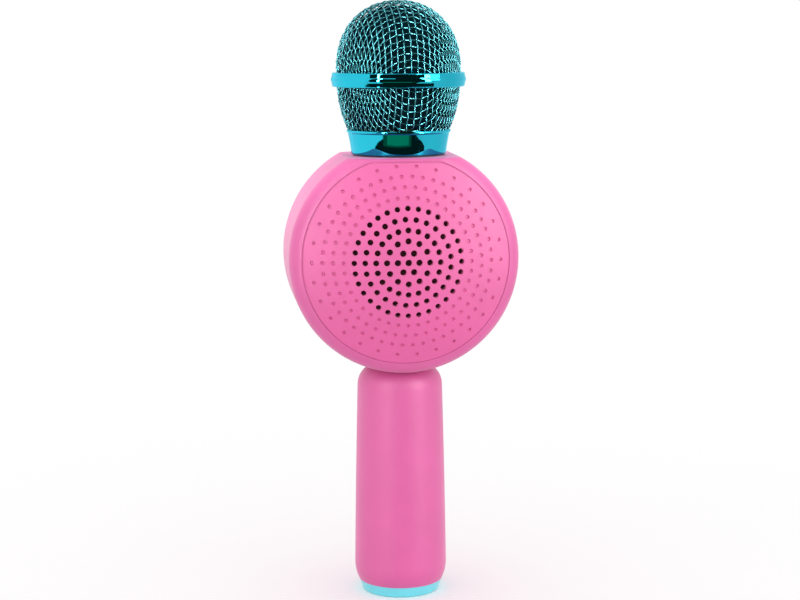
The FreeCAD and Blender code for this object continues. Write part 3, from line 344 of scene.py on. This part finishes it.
SOFT_TOUCH = {"Specular_IOR_Level": 0.38, "Sheen_Weight": 0.18, "Sheen_Roughness": 0.5}
FINISHES = {
    "pink_shell": lambda name: moulded_plastic(name, (0.565, 0.086, 0.275), 0.48, **SOFT_TOUCH),
    "pink_plate": lambda name: moulded_plastic(name, (0.60, 0.086, 0.275), 0.50, **SOFT_TOUCH),
    "teal_metallised": lambda name: teal_metallised(),
    "teal_wire": lambda name: teal_wire(),
    "teal_plastic": lambda name: moulded_plastic(name, (0.135, 0.59, 0.68), 0.24, Coat_Weight=0.5),
    "teal_rubber": lambda name: rubber(name, (0.03, 0.36, 0.42), 0.5),
    "black_foam": lambda name: black_foam(),
    "black_rubber": lambda name: rubber(name, (0.022, 0.022, 0.024)),
    "black_plastic": lambda name: moulded_plastic(name, (0.028, 0.028, 0.030), 0.45),
    "white_plastic": lambda name: moulded_plastic(name, (0.80, 0.78, 0.72), 0.4),
    "screw_steel": lambda name: metal(name, (0.58, 0.58, 0.60), 0.3),
    "plated_steel": lambda name: metal(name, (0.62, 0.62, 0.64), 0.32, "Y"),
    "ferrite": lambda name: ferrite(),
    "copper_wire": lambda name: copper_wire(),
    "cone_paper": lambda name: cone_paper(),
    # the first colour of each cloth is its painted shade between the threads
    "black_cloth": lambda name: woven_cloth(name, (0.020, 0.001, 0.003), (0.070, 0.005, 0.014), 0.5 * MM),
    "spider_cloth": lambda name: woven_cloth(name, (0.25, 0.14, 0.04), (0.62, 0.42, 0.16), 0.45 * MM),
    "board_green": lambda name: board_green(),
    "can_metal": lambda name: metal(name, (0.70, 0.70, 0.72), 0.25, "Z"),
    "cell_wrap": lambda name: shrink_wrap(),
    "lamp_white": lambda name: moulded_plastic(name, (0.85, 0.85, 0.80), 0.25),
    "lamp_clear": lambda name: lamp_lens(),
    "lead_red": lambda name: rubber(name, (0.50, 0.02, 0.02), 0.4),
    "lead_grey": lambda name: rubber(name, (0.28, 0.28, 0.29), 0.4),
}


def finish_cad_nodes():
    """Gives every CAD node the finish of its material slot."""
    made = {slot: make(slot).material for slot, make in FINISHES.items()}
    for part in frame["record"]["subparts"]:
        materials = frame["nodes"][part["node"]].data.materials
        materials.clear()
        materials.append(made[part["material_slot"]])
    return made


# ---- woven wire --------------------------------------------------------------------------------------------
class Dome:
    """A dome turned about Z: a superellipse from its widest height to its pole, and straight beyond."""

    def __init__(self, widest_z, radius, rise, power=2.0, up=1):
        self.widest_z, self.radius, self.rise, self.power, self.up = widest_z, radius, rise, power, up

    def pole(self):
        return np.array([0.0, 0.0, self.widest_z + self.up * self.rise])

    def value_and_slope(self, point):
        """Zero on the surface, and the slope of that value, which points outwards."""
        around = math.hypot(point[0], point[1])
        height = max(0.0, self.up * (point[2] - self.widest_z) / self.rise)
        value = (around / self.radius) ** self.power + height ** self.power - 1
        sideways = self.power * (around / self.radius) ** (self.power - 1) / self.radius
        upwards = self.power * height ** (self.power - 1) / self.rise * self.up
        if around < TINY:
            return value, np.array([0.0, 0.0, upwards])
        return value, np.array([sideways * point[0] / around, sideways * point[1] / around, upwards])

    def normals(self, points):
        slopes = np.array([self.value_and_slope(p)[1] for p in points])
        return slopes / np.linalg.norm(slopes, axis=1)[:, None]


def step_on(dome, start, near, plane=None):
    """The dome's point that is one pitch from each point of near, looked for from start on, or None.

    plane is the normal of a plane through the dome's axis that the point is to be in as well.
    """
    point = np.array(start, float)
    for _ in range(SOLVER_STEPS):
        value, slope = dome.value_and_slope(point)
        # every miss is in square metres, so that none outweighs the others
        misses = [value * dome.radius**2]
        slopes = [slope * dome.radius**2]
        for other in near:
            misses.append((point - other) @ (point - other) - WIRE_PITCH**2)
            slopes.append(2 * (point - other))
        if plane is not None:
            misses.append(point @ plane * WIRE_PITCH)
            slopes.append(plane * WIRE_PITCH)
        change = np.linalg.solve(np.array(slopes), np.array(misses))
        point = point - change
        if np.linalg.norm(change) < TINY:
            return point
    return None


def drape(dome, stop_z):
    """Crossings of a square net laid on the dome from its pole, as {(i, j): point}.

    Every thread length between two crossings stays one pitch, so the squares shear into diamonds between the
    two straight lines through the pole.
    """
    def past_stop(point):
        return dome.up * (point[2] - stop_z) < 0

    net = {(0, 0): dome.pole()}
    for along, plane in (((1, 0), (0.0, 1.0, 0.0)), ((0, 1), (1.0, 0.0, 0.0))):
        back = net[0, 0]
        here = step_on(dome, back + WIRE_PITCH * np.array([*along, 0.0]), [back], np.array(plane))
        count = 1
        while not past_stop(here):
            net[along[0] * count, along[1] * count] = here
            back, here = here, step_on(dome, 2 * here - back, [here], np.array(plane))
            count += 1
        net[along[0] * count, along[1] * count] = here
    for i in range(1, count + 1):
        for j in range(1, count + 1):
            corner, a, b = (net.get(key) for key in ((i - 1, j - 1), (i, j - 1), (i - 1, j)))
            if corner is None or a is None or b is None or (past_stop(a) and past_stop(b)):
                continue
            point = step_on(dome, a + b - corner, [a, b])
            if point is not None:
                net[i, j] = point
    for (i, j), point in list(net.items()):
        for x_side, y_side in ((-1, 1), (1, -1), (-1, -1)):
            net[i * x_side, j * y_side] = point * np.array([x_side, y_side, 1.0])
    return net


def threads(net):
    """The net's threads, as lists of (crossing, which side of the middle surface the wire passes it on)."""
    reach = max(i for i, j in net)
    found = []
    for fixed in range(-reach, reach + 1):
        for key_of, side in ((lambda k: (k, fixed), 1), (lambda k: (fixed, k), -1)):
            run = [k for k in range(-reach, reach + 1) if key_of(k) in net]
            if len(run) > 2:
                found.append([(net[key_of(k)], side * (-1) ** (k + fixed)) for k in run])
    return found


def spline_point(a, b, c, d, t):
    """A point of the smooth curve through a, b, c and d, between b and c."""
    bend = 2 * a - 5 * b + 4 * c - d
    return 0.5 * (2 * b + (c - a) * t + bend * t**2 + (3 * b - a - 3 * c + d) * t**3)


def thread_line(thread, dome):
    """A smooth centreline through a thread's crossings, bending over and under from one to the next."""
    points = np.array([p for p, _ in thread])
    first, last = 2 * points[0] - points[1], 2 * points[-1] - points[-2]
    padded = np.vstack([first, points, last])
    line, lift = [], []
    for k, (_, side) in enumerate(thread[:-1]):
        a, b, c, d = padded[k : k + 4]
        for t in np.arange(WIRE_STEPS) / WIRE_STEPS:
            line.append(spline_point(a, b, c, d, t))
            lift.append(side * WEAVE_HEIGHT * math.cos(math.pi * t))
    line.append(points[-1])
    lift.append(thread[-1][1] * WEAVE_HEIGHT)
    normals = dome.normals(line)
    return np.array(line) + normals * np.array(lift)[:, None], normals


def cut_between(line, normals, low, high):
    """The stretches of a line between two heights, each ended exactly at the height that cuts it."""
    def inside(z):
        return low <= z <= high

    stretches, current = [], []
    for k in range(len(line)):
        if k and inside(line[k - 1][2]) != inside(line[k][2]):
            z0, z1 = line[k - 1][2], line[k][2]
            edge = low if min(z0, z1) < low else high
            share = (edge - z0) / (z1 - z0)
            mixed = line[k - 1] + (line[k] - line[k - 1]) * share
            current.append((mixed, normals[k]))
            if not inside(z1):
                stretches.append(current)
                current = []
        if inside(line[k][2]):
            current.append((line[k], normals[k]))
    if current:
        stretches.append(current)
    return [s for s in stretches if len(s) > 2]


def add_tube(vertices, faces, stretch, turn):
    """Adds a closed round tube along a stretch of (point, normal), turned about Z."""
    points = np.array([p for p, _ in stretch]) @ turn.T
    normals = np.array([n for _, n in stretch]) @ turn.T
    along = np.gradient(points, axis=0)
    along /= np.linalg.norm(along, axis=1)[:, None]
    across = np.cross(along, normals)
    across /= np.linalg.norm(across, axis=1)[:, None]
    out = np.cross(across, along)
    start = len(vertices)
    for point, u, v in zip(points, out, across):
        for side in range(WIRE_SIDES):
            angle = 2 * math.pi * side / WIRE_SIDES
            vertices.append(point + WIRE_RADIUS * (u * math.cos(angle) + v * math.sin(angle)))
    for ring in range(len(points) - 1):
        here = start + ring * WIRE_SIDES
        for side in range(WIRE_SIDES):
            beside = (side + 1) % WIRE_SIDES
            faces.append((here + side, here + beside, here + WIRE_SIDES + beside, here + WIRE_SIDES + side))
    faces.append(tuple(start + side for side in reversed(range(WIRE_SIDES))))
    faces.append(tuple(start + (len(points) - 1) * WIRE_SIDES + side for side in range(WIRE_SIDES)))


def woven_mesh(name, dome, low, high, turn_angle):
    """Woven wire laid over a dome, between two heights."""
    turn = np.array(Matrix.Rotation(turn_angle, 3, "Z"))
    stop_z = (low if dome.up > 0 else high) - dome.up * DRAPE_PAST_END * WIRE_PITCH
    vertices, faces = [], []
    for thread in threads(drape(dome, stop_z)):
        line, normals = thread_line(thread, dome)
        for stretch in cut_between(line, normals, low, high):
            add_tube(vertices, faces, stretch, turn)
    return mesh_object(name, vertices, faces)


def mesh_object(name, vertices, faces):
    """A smooth-shaded object in the scene."""
    mesh = bpy.data.meshes.new(name)
    mesh.from_pydata([tuple(v) for v in vertices], [], faces)
    mesh.polygons.foreach_set("use_smooth", [True] * len(mesh.polygons))
    mesh.update()
    made = bpy.data.objects.new(name, mesh)
    bpy.context.scene.collection.objects.link(made)
    return made


def upper_dome(sink):
    """The upper grille's outer surface, sunk inwards."""
    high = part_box("upper_mesh")[1]
    return Dome(UPPER_SHOULDER_Z, high.x - sink, high.z - UPPER_SHOULDER_Z - sink, UPPER_POWER)


def lower_dome(sink):
    """The lower grille's outer surface, sunk inwards."""
    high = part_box("lower_mesh")[1]
    return Dome(LOWER_WIDEST_Z, high.x - sink, LOWER_DROP - sink, up=-1)


def woven_grille(name, node, dome, turn_angle, material):
    """Woven wire in place of one of the grille's two mesh nodes."""
    low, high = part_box(node)
    made = woven_mesh(name, dome, low.z, high.z, turn_angle)
    made.data.materials.append(material)
    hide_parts(node)
    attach(made, "head")


# ---- foam windscreen ---------------------------------------------------------------------------------------
def foam_outline(sink):
    """Half outline of the foam, from its open foot to its pole, sink inside its outer surface."""
    low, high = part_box("foam_windscreen")
    radius, rise = high.x - sink, high.z - UPPER_SHOULDER_Z - sink
    cup_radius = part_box("lower_mesh")[1].x
    cup_sink = cup_radius - high.x + sink
    cup_rows = FOAM_ROWS // 3
    points = []
    for z in np.linspace(low.z, LOWER_WIDEST_Z, cup_rows, endpoint=False):
        full = cup_radius * math.sqrt(1 - ((z - LOWER_WIDEST_Z) / LOWER_DROP) ** 2)
        points.append((full - cup_sink, z))
    for turn in np.linspace(0, math.pi / 2, FOAM_ROWS - cup_rows):
        across = radius * math.cos(turn) ** (2 / UPPER_POWER) if turn < math.pi / 2 else 0.0
        points.append((across, UPPER_SHOULDER_Z + rise * math.sin(turn) ** (2 / UPPER_POWER)))
    return points


def foam_windscreen(material):
    """Foam bag behind the wire: a soft lumpy shell, open below where the capsule's boot comes in."""
    outer, inner = foam_outline(0.0), foam_outline(FOAM_THICKNESS)
    rows = outer[:-1] + inner[:-1][::-1]
    vertices, faces = [], []
    for radius, z in rows:
        for side in range(FOAM_SIDES):
            angle = 2 * math.pi * side / FOAM_SIDES
            vertices.append(Vector((radius * math.cos(angle), radius * math.sin(angle), z)))
    count = len(outer) - 1
    for k in range(len(rows)):
        if k == count - 1:
            continue  # the outer skin's top row isn't joined to the inner one's: each ends in its own pole
        here, up = k * FOAM_SIDES, (k + 1) % len(rows) * FOAM_SIDES
        for side in range(FOAM_SIDES):
            beside = (side + 1) % FOAM_SIDES
            faces.append((here + side, here + beside, up + beside, up + side))
    for row, pole, flip in ((count - 1, outer[-1], 1), (count, inner[-1], -1)):
        vertices.append(Vector((0.0, 0.0, pole[1])))
        for side in range(FOAM_SIDES):
            beside = (side + 1) % FOAM_SIDES
            faces.append((row * FOAM_SIDES + side, row * FOAM_SIDES + beside, len(vertices) - 1)[::flip])
    middle = Vector((0.0, 0.0, LOWER_WIDEST_Z))
    for vertex in vertices:
        lump = 0.5 + 0.5 * noise.noise(vertex / FOAM_LUMP_SIZE)
        vertex -= (vertex - middle).normalized() * FOAM_LUMP * lump
    foam = mesh_object("foam_liner", vertices, faces)
    foam.data.materials.append(material)
    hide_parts("foam_windscreen")
    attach(foam, "head")


# ---- stage -------------------------------------------------------------------------------------------------
def camera():
    """The camera: in front, level with the grille, a little to the left and looking slightly down."""
    data = bpy.data.cameras.new("camera")
    data.lens = LENS_MM
    data.sensor_width = SENSOR_MM
    data.clip_start = 10 * MM
    made = bpy.data.objects.new("camera", data)
    bpy.context.scene.collection.objects.link(made)
    place = Vector(from_camera(0.0, CAMERA_DISTANCE, CAMERA_HEIGHT))
    turn = Matrix.Rotation(CAMERA_AZIMUTH + CAMERA_AIM, 4, "Z")
    tilt = Matrix.Rotation(math.radians(90) - CAMERA_DIP, 4, "X")
    made.matrix_world = Matrix.Translation(place) @ turn @ tilt @ Matrix.Rotation(CAMERA_ROLL, 4, "Z")
    bpy.context.scene.camera = made


def from_camera(degrees, radius, height):
    """A point round the microphone's axis, degrees to the right of the camera as the camera sees it."""
    angle = CAMERA_AZIMUTH + math.radians(degrees)
    return (radius * math.sin(angle), -radius * math.cos(angle), height)


def plain(name, colour, glow):
    """A matt surface that also gives off some light of its own."""
    finish = Finish(name, 1.0)
    finish.shader.inputs["Specular IOR Level"].default_value = 0.0
    finish.shader.inputs["Emission Color"].default_value = (*colour, 1.0)
    finish.shader.inputs["Emission Strength"].default_value = glow
    drift = finish.noise(500 * MM, detail=1)
    finish.colour(drift, (0.3, shaded(colour, 0.99)), (0.7, colour))
    return finish.material


def floor():
    """Plain white floor that the microphone stands on."""
    far = FLOOR_REACH
    corners = [(-far, -far, 0), (far, -far, 0), (far, far, 0), (-far, far, 0)]
    made = mesh_object("floor", corners, [(0, 1, 2, 3)])
    made.data.materials.append(plain("floor", FLOOR_COLOUR, FLOOR_GLOW))
    return made


def card(name, rows, colour, glow):
    """A studio card that only mirrors see, curved round the microphone.

    Each row gives its ends in degrees to the right of the camera, then its radius and height.
    """
    across = CARD_STEPS + 1
    vertices, faces = [], []
    for left, right, radius, height in rows:
        for k in range(across):
            vertices.append(from_camera(left + (right - left) * k / CARD_STEPS, radius, height))
    for row in range(len(rows) - 1):
        for here in range(row * across, row * across + CARD_STEPS):
            faces.append((here, here + 1, here + across + 1, here + across))
    made = mesh_object(name, vertices, faces)
    material = bpy.data.materials.new(name)
    material.use_nodes = True
    nodes = material.node_tree.nodes
    nodes.clear()
    light = nodes.new("ShaderNodeEmission")
    light.inputs["Color"].default_value = (*colour, 1.0)
    light.inputs["Strength"].default_value = glow
    output = nodes.new("ShaderNodeOutputMaterial")
    material.node_tree.links.new(light.outputs["Emission"], output.inputs["Surface"])
    made.data.materials.append(material)
    for ray in ("camera", "diffuse", "transmission", "volume_scatter", "shadow"):
        setattr(made, "visible_" + ray, False)


def cards():
    """What the plating mirrors: the dark side of a studio round the camera, and a few brighter cards."""
    near_black, white = (0.006, 0.020, 0.016), (1.0, 1.0, 1.0)
    wall, strip_wall, bright_wall = 0.62, 0.61, 0.63
    floor_low, floor_middle, floor_high, floor_top = 1 * MM, 2 * MM, 3 * MM, 6 * MM

    low_wall = [(-50, 46, wall, 0.0), (-50, 46, wall, 0.75)]
    high_wall = [(-6, 46, wall, 0.76), (-6, 46, wall, 1.4)]
    card("dark_front", low_wall + high_wall, near_black, 1.0)
    # a card that lies on the floor, narrow near the microphone and wider away from it
    outline = [
        (-32, 38, 0.08),
        (-32, 38, 0.39),
        (-43, 50, 0.43),
        (-49, 55, 0.455),
        (-54, 59, 0.495),
        (-59, 64, 0.55),
        (-59, 64, 0.72),
    ]
    card("dark_below", [(*row, floor_middle) for row in outline], near_black, 1.0)
    card("green_shade", [(-37, 30, 0.30, floor_high), (-37, 30, 0.480, floor_high)], (0.0, 0.13, 0.06), 1.0)
    card("green_below", [(-27, 24, 0.30, floor_top), (-27, 24, 0.450, floor_top)], (0.0, 0.38, 0.17), 1.0)

    bright_floor = [(-150, -30, 0.25, floor_low), (-150, -30, bright_wall, floor_low)]
    card("bright_left", bright_floor + [(-150, -30, bright_wall, 0.75)], white, 1.3)
    card("strip_left", [(-35.5, -32.5, strip_wall, 0.02), (-35.5, -32.5, strip_wall, 0.9)], white, SPARK)
    card("strip_right", [(46, 56, strip_wall, 0.02), (46, 56, strip_wall, 0.9)], white, 0.35 * SPARK)


def world():
    """A plain white sky."""
    made = bpy.data.worlds.new("studio")
    bpy.context.scene.world = made
    made.use_nodes = True
    background = made.node_tree.nodes["Background"]
    background.inputs["Color"].default_value = (1.0, 1.0, 1.0, 1.0)
    background.inputs["Strength"].default_value = SKY


def softbox(name, place, target, size, watts):
    """A rectangular lamp, size across and high, turned to a target."""
    data = bpy.data.lights.new(name, "AREA")
    data.shape = "RECTANGLE"
    data.size, data.size_y = size
    data.energy = watts
    made = bpy.data.objects.new(name, data)
    bpy.context.scene.collection.objects.link(made)
    made.location = place
    made.rotation_euler = (Vector(target) - Vector(place)).to_track_quat("-Z", "Y").to_euler()
    return made


def studio():
    """White sky, floor, cards and four softboxes that leave the floor out, so that it stays plain."""
    world()
    camera()
    cards()

    off_the_floor = bpy.data.collections.new("off_the_floor")
    off_the_floor.objects.link(floor())
    off_the_floor.collection_objects[0].light_linking.link_state = "EXCLUDE"
    middle = (0, 0, CAD_BOX[1].z / 2)
    lamps = {
        "key": (from_camera(50, 1.0, 0.60), middle, (1.0, 0.8), 5.5),
        "fill": (from_camera(-60, 1.2, 0.80), middle, (1.2, 1.2), 5.5),
        "top": (from_camera(180, 0.3, 1.20), middle, (0.9, 0.9), 15.0),
        "bounce": (from_camera(0, 1.1, 0.06), middle, (1.6, 0.3), 2.8),
    }
    for name, facts in lamps.items():
        lamp = softbox(name, *facts)
        lamp.light_linking.receiver_collection = off_the_floor
        lamp.visible_glossy = name == "key"  # the plating mirrors the cards and no other lamp
    bpy.context.scene.view_settings.view_transform = "Standard"


def main():
    """The studio first, then the finishes, and then the pieces made here."""
    studio()
    made = finish_cad_nodes()
    woven_grille("upper_weave", "upper_mesh", upper_dome(WIRE_SINK), UPPER_TURN, made["teal_wire"])
    woven_grille("lower_weave", "lower_mesh", lower_dome(WIRE_SINK), LOWER_TURN, made["teal_wire"])
    foam_windscreen(made["black_foam"])


main()
